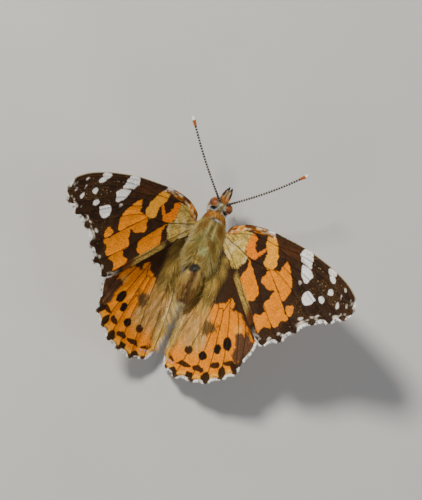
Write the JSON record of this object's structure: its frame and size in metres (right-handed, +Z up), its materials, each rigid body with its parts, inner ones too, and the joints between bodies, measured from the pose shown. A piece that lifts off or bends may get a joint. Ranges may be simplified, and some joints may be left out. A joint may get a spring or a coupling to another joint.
{
  "type": "still model of a butterfly",
  "caption": "Life-size still model of a painted lady butterfly standing on its walking legs with its wings half raised.",
  "frame": {"origin": "centre of the plan of the whole insect on the floor, under its feet", "axes": "+X to the insect's right, +Y towards its head, +Z up"},
  "size_m": [0.0516, 0.04, 0.025],
  "materials": {
    "wing": "matt scales",
    "fur": "short fur",
    "eye": "glossy",
    "shell": "satin",
    "palp": "short fur"
  },
  "bodies": {
    "root": {"abdomen": "fur", "antenna_left": "shell", "antenna_right": "shell", "eye_left": "eye", "eye_right": "eye", "forewing_left": "wing", "forewing_right": "wing", "head": "fur", "hindwing_left": "wing", "hindwing_right": "wing", "leg_fore_left": "fur", "leg_fore_right": "fur", "leg_hind_left": "shell", "leg_hind_right": "shell", "leg_mid_left": "shell", "leg_mid_right": "shell", "palp_left": "palp", "palp_right": "palp", "proboscis": "shell", "thorax": "fur"}
  },
  "joints": []
}
